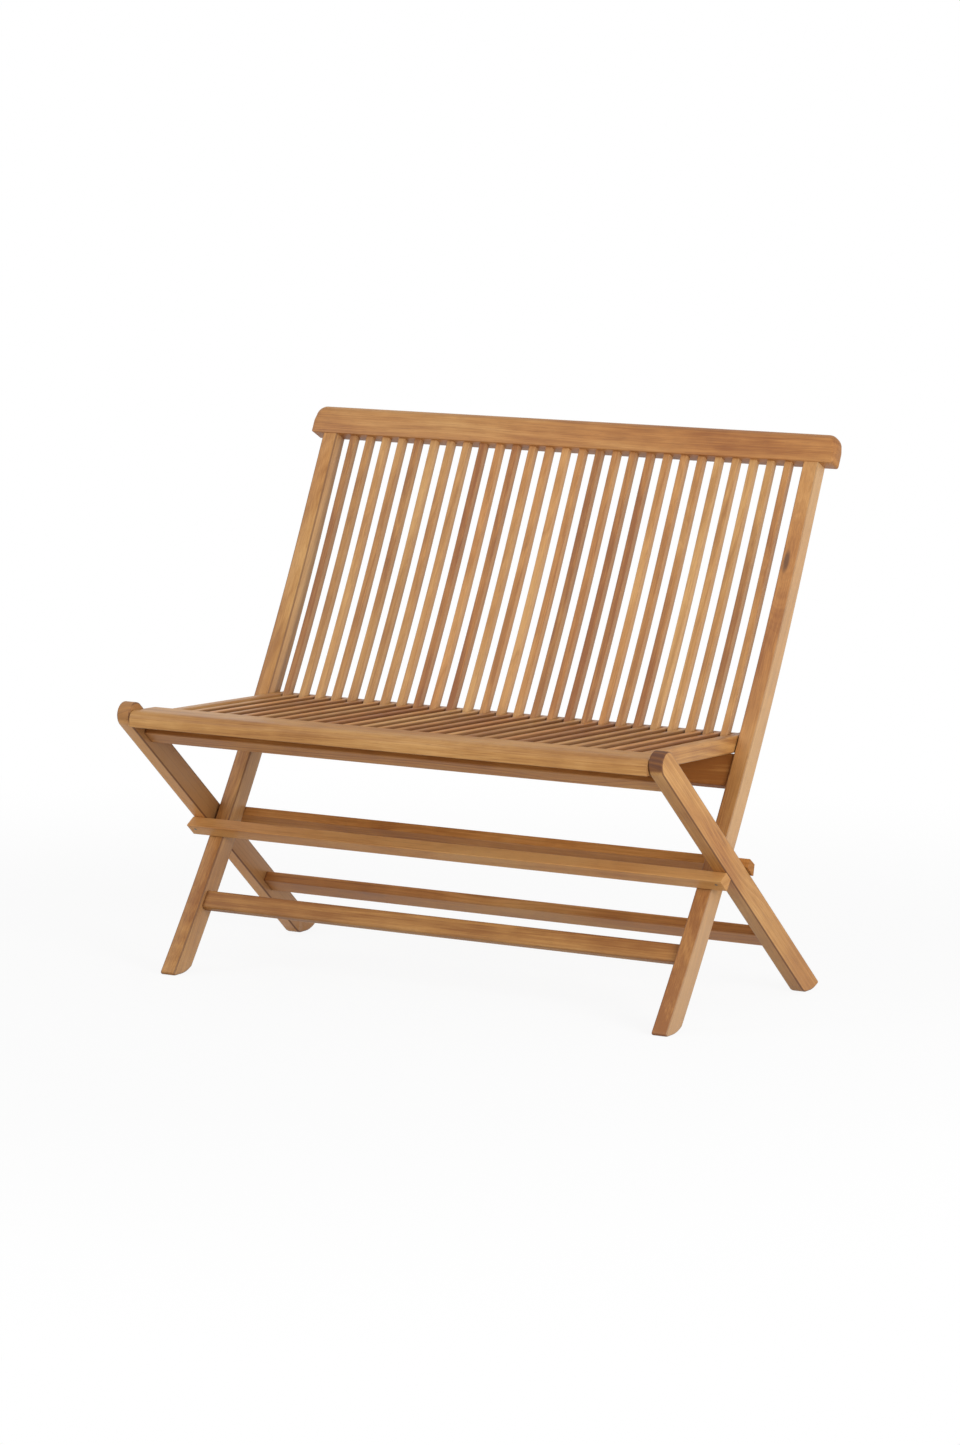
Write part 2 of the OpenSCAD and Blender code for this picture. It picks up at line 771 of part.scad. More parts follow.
// Name with a two-digit number, counted from one
function numbered(stem, i) = str(stem, i < 9 ? "0" : "", i + 1);

slat_tones = ["#b98250", "#ae7746", "#c08c5a", "#b27c4a", "#a87242"];

stile_left();
stile_right();
top_rail();
lower_back_rail();
front_stretcher();
rear_mid_rail();
for (i = [0 : back_slats - 1])
    color(slat_tones[i % 5]) back_slat(i);
pivot_pins();
pivot_washers();
rear_rail_dowels();
leg_left();
leg_right();
under_rail();
front_mid_rail();
rear_stretcher();
front_rail_dowels();
seat_pins();
seat_front_rail();
seat_rear_rail();
seat_side_left();
seat_side_right();
for (i = [0 : 12])
    color(slat_tones[i % 5]) seat_slats(i);
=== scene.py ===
"""Folding garden bench in teak: its boards, slats, finishes, light and camera."""

import json
import math

import bpy
from bpy.props import FloatProperty, FloatVectorProperty, IntProperty, PointerProperty
from mathutils import Matrix, Vector


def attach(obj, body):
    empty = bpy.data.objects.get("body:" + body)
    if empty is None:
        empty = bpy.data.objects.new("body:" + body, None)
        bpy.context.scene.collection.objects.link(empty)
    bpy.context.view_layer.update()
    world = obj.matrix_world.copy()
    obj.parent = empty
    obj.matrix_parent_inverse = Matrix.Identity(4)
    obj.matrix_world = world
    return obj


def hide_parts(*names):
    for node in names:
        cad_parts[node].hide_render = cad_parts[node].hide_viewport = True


bl_info = {
    "name": "Folding teak bench",
    "version": (1, 0, 0),
    "blender": (4, 5, 0),
    "location": "View3D > Sidebar > Bench",
    "description": "Boards, slats and finishes of a folding garden bench",
    "category": "Object",
}

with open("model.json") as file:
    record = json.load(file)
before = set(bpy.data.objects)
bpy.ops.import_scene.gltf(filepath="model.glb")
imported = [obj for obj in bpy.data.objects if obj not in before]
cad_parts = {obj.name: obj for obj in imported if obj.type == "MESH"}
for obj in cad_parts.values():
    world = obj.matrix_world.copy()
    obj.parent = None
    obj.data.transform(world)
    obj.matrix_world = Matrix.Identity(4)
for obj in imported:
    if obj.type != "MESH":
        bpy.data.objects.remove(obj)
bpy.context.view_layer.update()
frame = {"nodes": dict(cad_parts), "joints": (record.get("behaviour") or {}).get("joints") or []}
JOINT_AT = {joint["name"]: Vector(joint["pos_m"]) for joint in frame["joints"]}

# Bend of the stiles and the back slats, and its lean from upright at the floor and at the top.
# Lengths are in metres, as in the whole script.
BEND_RADIUS = 4.0
FOOT_LEAN = math.radians(37.3)
TOP_LEAN = math.radians(25.6)
BEND_LENGTH = BEND_RADIUS * (FOOT_LEAN - TOP_LEAN)
BEND_TOP = BEND_RADIUS * (math.sin(FOOT_LEAN) - math.sin(TOP_LEAN))
# Slope of the opened legs above the floor, and how far the seat falls towards the back
LEG_RISE = math.radians(38.85)
SEAT_TILT = math.radians(1.5)
# The two pivots, and the front toe of the stiles, from which all heights are reckoned
PIVOT = JOINT_AT["fold"]
KNUCKLE = JOINT_AT["seat_turn"]
PIVOT_FROM_TOE = 0.184355
TOE = Vector((0, PIVOT.y - PIVOT_FROM_TOE, 0))

# Sides of a stile and its depth at the foot and at the top
STILE_IN, STILE_OUT = 0.430, 0.457
STILE_FOOT, STILE_TOP = 0.0405, 0.0285
# Sides of a leg, half its depth, and its length from the cross pivot to the seat's pivot
LEG_IN, LEG_OUT = 0.460, 0.484
LEG_HALF = 0.0205
LEG_REACH = 0.317
# Round under the heel of a foot, how far it lifts the heel and runs along the floor, the cuts
# that draw it, and the steps that draw the round of the toe
FOOT_ROUND, FOOT_LIFT = 0.060, 0.009
FOOT_RUN = math.sqrt(FOOT_ROUND ** 2 - (FOOT_ROUND - FOOT_LIFT) ** 2)
FOOT_CUTS, TOE_STEPS = 7, 5
# Heights of the stile's front face at the front stretcher's underside, at the cross pivot, at
# the top of the lower back rail and under the top rail
STRETCHER_FOOT = 0.1055
PIVOT_HEIGHT = 0.2393
BOARD_TOP = 0.403581
SHOULDER = 0.842
# How far behind its pivot the seat's front rail ends and its rear rail starts, and how far the
# top of its boards lies above the pivot
SEAT_FRONT, SEAT_REACH = 0.052, 0.389807
SEAT_TOP = 0.009
# The back slats, how far the outermost ones stand from the middle, and their distance
SLAT_COUNT = 27
SLAT_FIRST = 0.401
SLAT_PITCH = 2 * SLAT_FIRST / (SLAT_COUNT - 1)
# How far a piece runs on into the one that it is joined to
HIDDEN_END = 0.003
# Room between a mid rail and the members that it lies on, and those that come to rest on it
LAID_GAP, REST_GAP = 0.0002, 0.0003

X, Y, Z = range(3)
# Shortest of a board's long edges, angle past which an edge is eased, and angle up to which the
# shading is smooth
LONG_EDGE = 0.1
SHARP_ANGLE = math.radians(40)
SMOOTH_ANGLE = math.radians(42)
# How far apart places may be that count as near, as level with the floor, and as the same
NEAR, LEVEL, SAME = 1e-3, 1e-5, 1e-6

# Cycles to the metre of the patterns in the wood, across the grain and along it
RIPPLE, STREAK, CLOUD = (55.0, 6.0), (230.0, 2.6), (12.0, 3.0)
MOTTLE, FIBRE, PORE = (40.0, 22.0), (620.0, 11.0), (1500.0, 60.0)
KNOT = (9.0, 2.3)
# Tints of reddish and of straw-coloured wood, and the colours of knots and of open pores
REDDISH, STRAW = (1.0, 0.86, 0.77), (1.0, 1.07, 1.16)
KNOT_BROWN, PORE_BROWN = (0.085, 0.033, 0.013), (0.13, 0.055, 0.02)

# The photograph's size, and the lens and the middle of the view that belong to it, in pixels
PHOTO_WIDE, PHOTO_HIGH = 960, 1445
LENS, MIDDLE_X, MIDDLE_Y = 4635, 603.0, 822.1
# Yaw, pitch and roll of the photograph's camera in degrees, and its place from the toes
CAMERA_TURN = (27.57, 9.13, 1.06)
CAMERA_FROM_TOE = Vector((3.5572, -6.1560, 1.4374))
# What the lamps point at, and where the floor's own light starts to fade and has faded
LAMP_AIM = Vector((0, 0, 0.45))
FLOOR_FADE = (0.9, 2.3)


def lean_at(height):
    """Lean of the stile's front face from upright, at a height."""
    if height >= BEND_TOP:
        return TOP_LEAN
    return math.asin(math.sin(FOOT_LEAN) - height / BEND_RADIUS)


def on_stile(height):
    """Point of the side view on the stile's front face, at a height."""
    lean = lean_at(height)
    back = BEND_RADIUS * (math.cos(lean) - math.cos(FOOT_LEAN))
    back += max(0, height - BEND_TOP) * math.tan(TOP_LEAN)
    return TOE + Vector((0, back, height))


def leg_meets(back):
    """Place along the stile of the leg's upper face, at a depth behind the cross pivot."""
    between = math.pi / 2 - LEG_RISE + lean_at(PIVOT_HEIGHT)
    return (LEG_HALF + REST_GAP - back * math.cos(between)) / math.sin(between)


def length_to(height):
    """Length of the stile's front face from its toe up to a height."""
    straight = max(0, height - BEND_TOP) / math.cos(TOP_LEAN)
    return BEND_RADIUS * (FOOT_LEAN - lean_at(height)) + straight


class BenchWood(bpy.types.PropertyGroup):
    """Colours of the teak, and how strongly its grain shows."""

    pale: FloatVectorProperty(
        name="Pale wood", description="Colour between the growth rings", subtype="COLOR",
        default=(0.60, 0.315, 0.105), min=0, max=1)
    golden: FloatVectorProperty(
        name="Golden wood", description="Middle colour of the teak", subtype="COLOR",
        default=(0.455, 0.212, 0.058), min=0, max=1)
    brown: FloatVectorProperty(
        name="Brown wood", description="Colour of the dense growth rings", subtype="COLOR",
        default=(0.28, 0.108, 0.026), min=0, max=1)
    # Pale colour, painted as sheen on the sides that face the side lamp and as light on the paler
    # sides of the back slats.
    painted_sheen: FloatVectorProperty(
        name="Sapwood", description="Colour of the wood from under the bark", subtype="COLOR",
        default=(0.62, 0.42, 0.22), min=0, max=1)
    # Also the colour of painted shade: on eased edges, on the browner sides of boards and where
    # boards run into the frame.
    end_grain_and_shade: FloatVectorProperty(
        name="End grain", description="Colour of a sawn end", subtype="COLOR",
        default=(0.11, 0.042, 0.02), min=0, max=1)
    ring_width: FloatProperty(
        name="Ring width", description="Width of the bands of grain", default=0.0075,
        min=0.002, max=0.03, unit="LENGTH")
    contrast: FloatProperty(
        name="Contrast", description="How far the growth rings differ in colour", default=0.8,
        min=0, max=4)
    roughness: FloatProperty(
        name="Roughness", description="Roughness of the sanded wood", default=0.46,
        min=0, max=1, subtype="FACTOR")
    relief: FloatProperty(
        name="Relief", description="Depth of the grain's relief", default=0.00018,
        min=0, max=0.002, unit="LENGTH")


class BenchEdges(bpy.types.PropertyGroup):
    """How far the edges of the boards are eased."""

    frame_round: FloatProperty(
        name="Frame edges", description="Round of the edges of stiles and legs",
        default=0.0025, min=0.0005, max=0.006, unit="LENGTH")
    rail_round: FloatProperty(
        name="Rail edges", description="Round of the edges of the other cross rails",
        default=0.002, min=0.0005, max=0.005, unit="LENGTH")
    slat_round: FloatProperty(
        name="Slat edges", description="Round of the edges of the slats",
        default=0.0018, min=0.0005, max=0.005, unit="LENGTH")
    seat_round: FloatProperty(
        name="Seat edges",
        description="Round of the edges of the seat's slats and sides and the lower back rail",
        default=0.003, min=0.0005, max=0.004, unit="LENGTH")
    front_round: FloatProperty(
        name="Seat front's edges",
        description="Round of the edges of the seat's front rail, apart from its nose",
        default=0.0015, min=0.0005, max=0.005, unit="LENGTH")
    soft_round: FloatProperty(
        name="Soft edges", description="Round of the front stretcher and the seat's rear rail",
        default=0.004, min=0.0005, max=0.006, unit="LENGTH")
    steps: IntProperty(
        name="Steps", description="Faces that draw a rounded edge", default=3, min=1, max=8)


class BenchStage(bpy.types.PropertyGroup):
    """Light, background and camera."""

    key: FloatProperty(
        name="Key light", description="Power of the large lamp in front on the left", default=34,
        min=0, max=2000, unit="POWER")
    side: FloatProperty(
        name="Side light", description="Power of the lamp on the right", default=64,
        min=0, max=2000, unit="POWER")
    sky: FloatProperty(
        name="Sky", description="Strength of the even light from all sides", default=0.78,
        min=0, max=2)
    floor: FloatVectorProperty(
        name="Floor", description="Colour of the floor", subtype="COLOR",
        default=(0.65, 0.65, 0.65), min=0, max=1)


# ---- shaders ----


class Wire:
    """A socket that can be reckoned with, so that shader maths reads as plain expressions."""

    def __init__(self, shade, socket):
        self.shade, self.socket = shade, socket

    def maths(self, operation, *others):
        """The result of a Math node on this socket and others."""
        return self.shade.node("Math", {"operation": operation}, [self, *others])

    def __add__(self, other):
        return self.maths("ADD", other)

    def __sub__(self, other):
        return self.maths("SUBTRACT", other)

    def __mul__(self, other):
        return self.maths("MULTIPLY", other)

    def __truediv__(self, other):
        return self.maths("DIVIDE", other)

    def __rsub__(self, other):
        return self.shade.node("Math", {"operation": "SUBTRACT"}, [other, self])

    __radd__ = __add__
    __rmul__ = __mul__

    def between(self, low, high):
        """0 below low, 1 above high and a smooth step between them."""
        return self.shade.node(
            "MapRange", {"interpolation_type": "SMOOTHSTEP"},
            {"Value": self, "From Min": low, "From Max": high})


class Shade:
    """The nodes of a material or of the world."""

    def __init__(self, owner):
        owner.use_nodes = True
        self.owner, self.tree = owner, owner.node_tree
        self.tree.nodes.clear()

    def node(self, kind, settings=None, inputs=None, out=0):
        """Adds a node of a kind, makes its settings, then sets or links its inputs."""
        made = self.tree.nodes.new("ShaderNode" + kind)
        for key, value in (settings or {}).items():
            if key == "stops":
                ramp = made.color_ramp
                while len(ramp.elements) < len(value):
                    ramp.elements.new(0.5)
                for stop, (place, colour) in zip(ramp.elements, value):
                    stop.position = place
                    stop.color = (*colour, 1)
            else:
                setattr(made, key, value)
        pairs = inputs.items() if isinstance(inputs, dict) else enumerate(inputs or [])
        for key, value in pairs:
            socket = made.inputs[key]
            if isinstance(value, Wire):
                self.tree.links.new(value.socket, socket)
            elif socket.type == "RGBA" and len(value) == 3:
                socket.default_value = (*value, 1)
            else:
                socket.default_value = value
        return Wire(self, made.outputs[out]) if made.outputs else None

    def blend(self, share, first, second, how="MIX"):
        """Colour between two colours, by a share."""
        return self.node(
            "Mix", {"data_type": "RGBA", "blend_type": how},
            {0: share, 6: first, 7: second}, out=2)

    def apart(self, vector):
        """The X, Y and Z of a vector."""
        made = self.node("SeparateXYZ", inputs=[vector]).socket.node
        return [Wire(self, socket) for socket in made.outputs]

    def point(self, x, y, z):
        """The vector of three values."""
        return self.node("CombineXYZ", inputs=[x, y, z])

    def noise(self, place, detail, rough=0.5, dimensions="3D", scale=1.0):
        """Noise at a place, which in one dimension is a value and otherwise a vector."""
        inputs = {"Scale": scale, "Detail": detail, "Roughness": rough}
        inputs["W" if dimensions == "1D" else "Vector"] = place
        return self.node("TexNoise", {"noise_dimensions": dimensions}, inputs)

    def finish(self, **sockets):
        """Closes the material with a Principled shader."""
        shader = self.node(
            "BsdfPrincipled", inputs={k.replace("_", " "): v for k, v in sockets.items()})
        self.node("OutputMaterial", inputs={"Surface": shader})
        return self.owner


def teak(name, turn=0.0, lengthwise="Z", pitch=None, offset=0.0, seed=1.0, tone=0.0, spread=0.5,
         straw=None, edges=0.12, ends=0.4, painted_foot_shade=0.0, painted_sheen=None, painted_side_shading=0.0, gloss=0.5,
         figure=1.0, joint=None):
    """Teak whose grain runs along the boards.

    turn leans the grain about the bench's long axis, and lengthwise is the axis that it then
    follows. Boards that repeat along the bench at a pitch, from an offset, each get their own
    figure and tone. tone lightens the wood, and spread says how far the boards differ in it.
    straw goes from 0, reddish, to 1, straw-coloured, or is left to chance. edges says how dark
    the eased edges are painted, a painted shade along them, ends how dark the sawn ends are, and
    drift how fast the tone rises along the board, so that its low end is painted darker as painted
    shade. sapwood says from where to where across the board a pale band is painted on its side
    towards +X, and how pale: a painted sheen. flanks says how much browner the sides are painted
    than the face, as painted shade, or below 0 how much paler, as painted light. gloss says how
    strongly the wood mirrors the light around it, figure how bold the rings and streaks are, and
    joint how far from the middle the board runs into the frame, where a dark band is painted as
    contact shadow.
    """
    wood = bpy.context.scene.bench_wood
    pale, golden, brown = tuple(wood.pale), tuple(wood.golden), tuple(wood.brown)
    end_grain_and_shade = tuple(wood.end_grain_and_shade)
    s = Shade(bpy.data.materials.new(name))
    leant = {"Rotation": (turn, 0, 0)}
    x, y, z = s.apart(s.node("Mapping", inputs={"Vector": s.node("TexCoord", out=3), **leant}))
    facing = s.node(
        "Mapping", {"vector_type": "NORMAL"}, {"Vector": s.node("TexCoord", out=1), **leant})
    upright = lengthwise == "Z"
    along = z if upright else x
    if pitch:
        # The boards are counted from well outside the bench, so that every number is positive
        board = ((x - offset) / pitch + 50.5).maths("FLOOR")
        across = x - offset - (board - 50) * pitch
        dice_at = board + seed * 7.31
    else:
        across = x - offset if upright else z
        dice_at = seed * 3.7
    sides = [part.maths("ABSOLUTE") for part in s.apart(facing)]
    end_on = sides.pop(2 if upright else 0).between(0.25, 0.55)
    shaded_arris = sides[0].maths("MINIMUM", sides[1]).between(0.1, 0.4)

    # Three chance numbers from 0 to 1, which differ from board to board
    first, second, third = s.apart(
        s.node("TexWhiteNoise", {"noise_dimensions": "1D"}, {"W": dice_at}, out=1))
    moved = first * 9.0 + seed * 1.3

    def at(cycles):
        """Place in a pattern that repeats so often across the board and along it."""
        wide, long = cycles
        return s.point(across * wide, y * wide, along * long + moved)

    # Growth rings about a heart that lies within 45 mm to either side of the board and 22 to
    # 82 mm from its face, and wanders along it. A knot pushes them up to 16 mm aside.
    wander = s.noise(s.point(moved, along * 1.7, 0.0), 2.0)
    wide, long = KNOT
    knot_at = s.point(across * wide + moved, y * wide + moved, along * long + moved)
    knot = s.node(
        "TexVoronoi", {"feature": "F1", "voronoi_dimensions": "3D"},
        {"Vector": knot_at, "Scale": 1.0, "Randomness": 1.0})
    knot_core = 1 - knot.between(0.025, 0.06)
    knot_pull = (1 - knot.between(0.04, 0.36)) * 0.016
    heart_x = (second - 0.5) * 0.09 + along * (third - 0.5) * 0.09 + (wander - 0.5) * 0.06
    heart_y = 0.022 + first * 0.06
    off_x = across - heart_x
    off_y = y + heart_y + (wander - 0.5) * 0.03 if pitch else y + heart_y
    radius = (off_x * off_x + off_y * off_y).maths("SQRT") + knot_pull
    ripple = s.noise(at(RIPPLE), 3.0) * 0.003
    ring_at = (radius + ripple) / wood.ring_width + moved * 11.0
    ring = s.noise(ring_at, 4.0, 0.6, "1D") - 0.5
    line = s.noise(ring_at * 1.9 + 3.0, 2.0, dimensions="1D").between(0.57, 0.68)

    # Dark streaks, clouds, mottling, fibres and open pores
    streak = s.noise(at(STREAK), 2.0).between(0.58, 0.74)
    cloud = s.noise(at(CLOUD), 2.0) - 0.5
    mottle = s.noise(at(MOTTLE), 2.0) - 0.5
    fibre = s.noise(at(FIBRE), 3.0, 0.6) - 0.5
    pore = s.noise(at(PORE), 1.0).between(0.60, 0.72)

    # How light the wood is, its tint, and what is drawn over both
    level = ring * (wood.contrast * figure) + fibre * 0.85 + cloud * 0.95 + mottle * 0.4
    # along * drift darkens a board towards the low end of its length: painted shade.
    level = level + (second - 0.5) * spread + along * painted_foot_shade + (0.5 + tone)
    face = s.node(
        "ValToRGB", {"stops": [(0.12, brown), (0.50, golden), (0.88, pale)]}, [level])
    straw_at = cloud * 1.6 + (third if straw is None else straw)
    hue = s.blend(straw_at.between(0.0, 1.0), REDDISH, STRAW)
    warm = s.blend(0.75, face, hue, "MULTIPLY")
    colour = s.blend(line * (0.25 * figure) + streak * (0.26 * figure), warm, brown)
    # A pale band painted on the board's side towards +X: painted sheen where the side lamp falls.
    if painted_sheen:
        start, whole, share = painted_sheen
        colour = s.blend(across.between(start, whole) * share, colour, tuple(wood.painted_sheen))
    # The sides are painted browner, as painted shade, or paler below 0, as painted light.
    if painted_side_shading:
        colour = s.blend(
            sides[0].between(0.5, 0.9) * abs(painted_side_shading), colour,
            end_grain_and_shade if painted_side_shading > 0 else tuple(wood.painted_sheen))
    # A dark band is painted where the board runs into the frame: painted contact shadow at the
    # joint.
    if joint:
        joint_shadow = along.maths("ABSOLUTE").between(joint - 0.005, joint) * 0.6
        colour = s.blend(joint_shadow, colour, end_grain_and_shade)
    # The eased edges are painted darker: painted shade along them.
    colour = s.blend(shaded_arris * edges, colour, end_grain_and_shade)
    sawn = s.blend((ring * 1.5 + 0.4).between(0.2, 0.9), end_grain_and_shade, brown)
    colour = s.blend(end_on * ends, colour, sawn)
    colour = s.blend(knot_core * 0.8, colour, KNOT_BROWN)
    colour = s.blend(pore * 0.25, colour, PORE_BROWN)

    roughness = fibre * 0.2 + mottle * 0.1 + wood.roughness + end_on * 0.15
    height = (fibre * 0.5 - pore * 0.6 + ring * 0.5 - line * 0.2) * (1 - end_on * 0.85)
    bump = s.node("Bump", inputs={"Strength": 0.6, "Distance": wood.relief, "Height": height})
    return s.finish(
        Base_Color=colour, Roughness=roughness, Specular_IOR_Level=gloss, Normal=bump)


def steel(name, dull=(0.42, 0.43, 0.44), bright=(0.62, 0.63, 0.64), metallic=0.95):
    """Steel, clouded between two shades."""
    s = Shade(bpy.data.materials.new(name))
    cloud = s.noise(s.node("TexCoord", out=3), 3.0, scale=160.0)
    colour = s.blend(cloud, dull, bright)
    bump = s.node("Bump", inputs={"Strength": 0.3, "Distance": 0.0001, "Height": cloud})
    return s.finish(
        Base_Color=colour, Metallic=metallic, Roughness=cloud * 0.25 + 0.25, Normal=bump)


# ---- woodwork ----


def deselect_all():
    """Leaves edit mode, and leaves no object selected."""
    if bpy.context.object and bpy.context.object.mode != "OBJECT":
        bpy.ops.object.mode_set(mode="OBJECT")
    bpy.ops.object.select_all(action="DESELECT")


def work_on(piece):
    """Selects one piece alone and makes it the active one."""
    deselect_all()
    piece.select_set(True)
    bpy.context.view_layer.objects.active = piece


def pick(piece, kind, test):
    """Goes into edit mode with only the edges or corners selected that pass a test."""
    work_on(piece)
    bpy.ops.object.mode_set(mode="EDIT")
    bpy.ops.mesh.select_mode(type=kind)
    bpy.ops.mesh.select_all(action="DESELECT")
    bpy.ops.object.mode_set(mode="OBJECT")
    parts = piece.data.edges if kind == "EDGE" else piece.data.vertices
    for part in parts:
        part.select = bool(test(part))
    bpy.ops.object.mode_set(mode="EDIT")


def edges_where(piece, test):
    """Goes into edit mode with only the edges selected that pass a test on their two ends."""
    pick(piece, "EDGE", lambda edge: test(*(piece.data.vertices[i].co for i in edge.vertices)))


def board(name, low, high):
    """A square-edged board between two corners of its own frame."""
    deselect_all()
    low, high = Vector(low), Vector(high)
    bpy.ops.mesh.primitive_cube_add(size=1, location=(low + high) / 2)
    piece = bpy.context.object
    piece.name = piece.data.name = name
    piece.scale = high - low
    bpy.ops.object.transform_apply(location=True, rotation=True, scale=True)
    return piece


def lengths(piece, axis, cuts):
    """Cuts a board's long edges into short lengths along an axis."""
    edges_where(
        piece, lambda a, b: abs(a[axis] - b[axis]) > max(LONG_EDGE, 0.9 * (a - b).length))
    bpy.ops.mesh.subdivide(number_cuts=cuts)
    bpy.ops.object.mode_set(mode="OBJECT")


def shift(piece, test, by):
    """Moves the corners whose place passes a test."""
    pick(piece, "VERT", lambda point: test(point.co))
    bpy.ops.transform.translate(value=by)
    bpy.ops.object.mode_set(mode="OBJECT")


def round_over(piece, test, radius, steps):
    """Rounds the edges that pass a test, as a router does."""
    edges_where(piece, test)
    bpy.ops.mesh.bevel(offset=radius, segments=steps, profile=0.5, affect="EDGES")
    bpy.ops.object.mode_set(mode="OBJECT")


def place(piece, point, turn):
    """Turns a piece about the bench's long axis and sets its frame's origin on a point."""
    work_on(piece)
    piece.matrix_world = Matrix.Translation(point) @ Matrix.Rotation(turn, 4, "X")
    bpy.ops.object.transform_apply(location=True, rotation=True, scale=True)


def saw(piece, point, normal):
    """Saws a piece along a plane and keeps the side that the normal points away from."""
    work_on(piece)
    bpy.ops.object.mode_set(mode="EDIT")
    bpy.ops.mesh.select_all(action="SELECT")
    bpy.ops.mesh.bisect(
        plane_co=point, plane_no=normal, use_fill=True, clear_outer=True, clear_inner=False)
    bpy.ops.object.mode_set(mode="OBJECT")


def round_foot(piece, start, toe_round):
    """Saws a foot level, planes the round under its heel from a place on, and rounds its toe."""
    saw(piece, (0, 0, 0), (0, 0, -1))
    whole = math.acos(1 - FOOT_LIFT / FOOT_ROUND)
    for step in range(FOOT_CUTS):
        turn = whole * (step + 0.5) / FOOT_CUTS
        out = Vector((0, math.sin(turn), -math.cos(turn)))
        saw(piece, Vector((0, start, FOOT_ROUND)) + out * FOOT_ROUND, out)
    toe = min(point.co.y for point in piece.data.vertices if point.co.z < LEVEL)
    round_over(
        piece, lambda a, b: max(a.z, b.z) < LEVEL and max(a.y, b.y) < toe + NEAR, toe_round,
        TOE_STEPS)


def bow(piece):
    """Bends a piece that stands upright with its front face on Y = 0 to the stile's curve."""
    heights = [point.co.z for point in piece.data.vertices]
    low, whole = min(heights), max(heights) - min(heights)
    bend = piece.modifiers.new("bow", "SIMPLE_DEFORM")
    bend.deform_method = "BEND"
    bend.deform_axis = "X"
    bend.angle = TOP_LEAN - FOOT_LEAN
    bend.limits = (-low / whole, (BEND_LENGTH - low) / whole)
    apply(piece, bend)
    place(piece, TOE, -FOOT_LEAN)


def apply(piece, modifier):
    """Applies a modifier to its piece."""
    work_on(piece)
    bpy.ops.object.modifier_apply(modifier=modifier.name)


def ease(piece, width, share=None):
    """Eases every sharp edge of a piece, or gives each edge its share of the width.

    Then it smooths the shading.
    """
    edges = piece.modifiers.new("ease", "BEVEL")
    edges.width = width
    edges.segments = bpy.context.scene.bench_edges.steps
    edges.limit_method = "WEIGHT" if share else "ANGLE"
    edges.use_clamp_overlap = not share
    edges.angle_limit = SHARP_ANGLE
    if share:
        weights = piece.data.attributes.new("bevel_weight_edge", "FLOAT", "EDGE")
        points = piece.data.vertices
        for edge in piece.data.edges:
            a, b = (points[i].co for i in edge.vertices)
            weights.data[edge.index].value = share((a + b) / 2, b - a)
    apply(piece, edges)
    bpy.ops.object.shade_smooth_by_angle(angle=SMOOTH_ANGLE)
    level = piece.modifiers.new("level", "WEIGHTED_NORMAL")
    level.keep_sharp = True
    apply(piece, level)


def common(piece, *others):
    """Keeps what a piece has in common with others, and smooths its shading."""
    for other in others:
        cut = piece.modifiers.new("common", "BOOLEAN")
        cut.operation = "INTERSECT"
        cut.object = other
        apply(piece, cut)
        bpy.data.objects.remove(other)
    bpy.ops.object.shade_smooth_by_angle(angle=SMOOTH_ANGLE)


def ease_mid_rail(rail):
    """Rounds a mid rail's outer edges and leaves those that lie against the frame crisp."""
    middle = sum(point.co.y for point in rail.data.vertices) / len(rail.data.vertices)
    outward = -1 if middle < 0 else 1

    def share(at, run):
        outer = abs(run.x) > LONG_EDGE and (at.y - middle) * outward > 0
        return 1.0 if outer else 0.25

    ease(rail, bpy.context.scene.bench_edges.rail_round, share=share)


def fit(piece, body, finish, slot, *nodes):
    """Gives a piece its finish and lets it stand for its nodes on their body."""
    piece.data.materials.clear()
    piece.data.materials.append(finish)
    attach(piece, body)
    if nodes:
        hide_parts(*nodes)


def copied(piece, name, along=0.0):
    """A copy with its own mesh, set further along the bench."""
    other = piece.copy()
    other.data = piece.data.copy()
    other.name = other.data.name = name
    bpy.context.scene.collection.objects.link(other)
    other.data.transform(Matrix.Translation((along, 0, 0)))
    return other


def mirrored(piece, name):
    """The same piece for the other side of the bench, with its own mesh."""
    other = copied(piece, name)
    work_on(other)
    other.scale = (-1, 1, 1)
    bpy.ops.object.transform_apply(location=True, rotation=True, scale=True)
    bpy.ops.object.mode_set(mode="EDIT")
    bpy.ops.mesh.select_all(action="SELECT")
    bpy.ops.mesh.normals_make_consistent(inside=False)
    bpy.ops.object.mode_set(mode="OBJECT")
    return other


class BENCH_OT_stiles(bpy.types.Operator):
    """Make the two bowed stiles, which are also the front legs"""

    bl_idname = "bench.stiles"
    bl_label = "Stiles"

    def execute(self, context):
        # A stile runs on below the floor until its foot is sawn
        spare, toe_round = 0.012, 0.009
        top = length_to(SHOULDER) + HIDDEN_END
        stile = board("stile_right_wood", (STILE_IN, 0, -spare), (STILE_OUT, STILE_FOOT, top))
        shift(stile, lambda at: at.z > 0 and at.y > LEVEL, (0, STILE_TOP - STILE_FOOT, 0))
        lengths(stile, Z, 44)
        bow(stile)
        heel = STILE_FOOT / math.cos(FOOT_LEAN) + FOOT_LIFT * math.tan(FOOT_LEAN)
        round_foot(stile, TOE.y + heel - FOOT_RUN, toe_round)
        ease(stile, context.scene.bench_edges.frame_round)
        other = mirrored(stile, "stile_left_wood")
        # The grain follows the middle of the bend. drift darkens the stiles towards their feet, as
        # painted shade.
        looks = dict(turn=math.radians(30), painted_foot_shade=0.42)
        middle = (STILE_IN + STILE_OUT) / 2
        # Each stile gets a pale band on its side towards +X, painted sheen from the side lamp, and
        # its eased edges painted darker as painted shade.
        fit(stile, "back_frame",
            teak("teak_stile_right", offset=middle, seed=2, tone=-0.35, straw=0.45,
                 painted_sheen=(0.0105, 0.0132, 0.45), edges=0.3, **looks),
            "teak_pale", "stile_right")
        fit(other, "back_frame",
            teak("teak_stile_left", offset=-middle, seed=3, tone=-0.2, straw=0.65, gloss=0.4,
                 painted_sheen=(0.0105, 0.0132, 0.25), edges=0.6, **looks),
            "teak_golden", "stile_left")
        return {"FINISHED"}


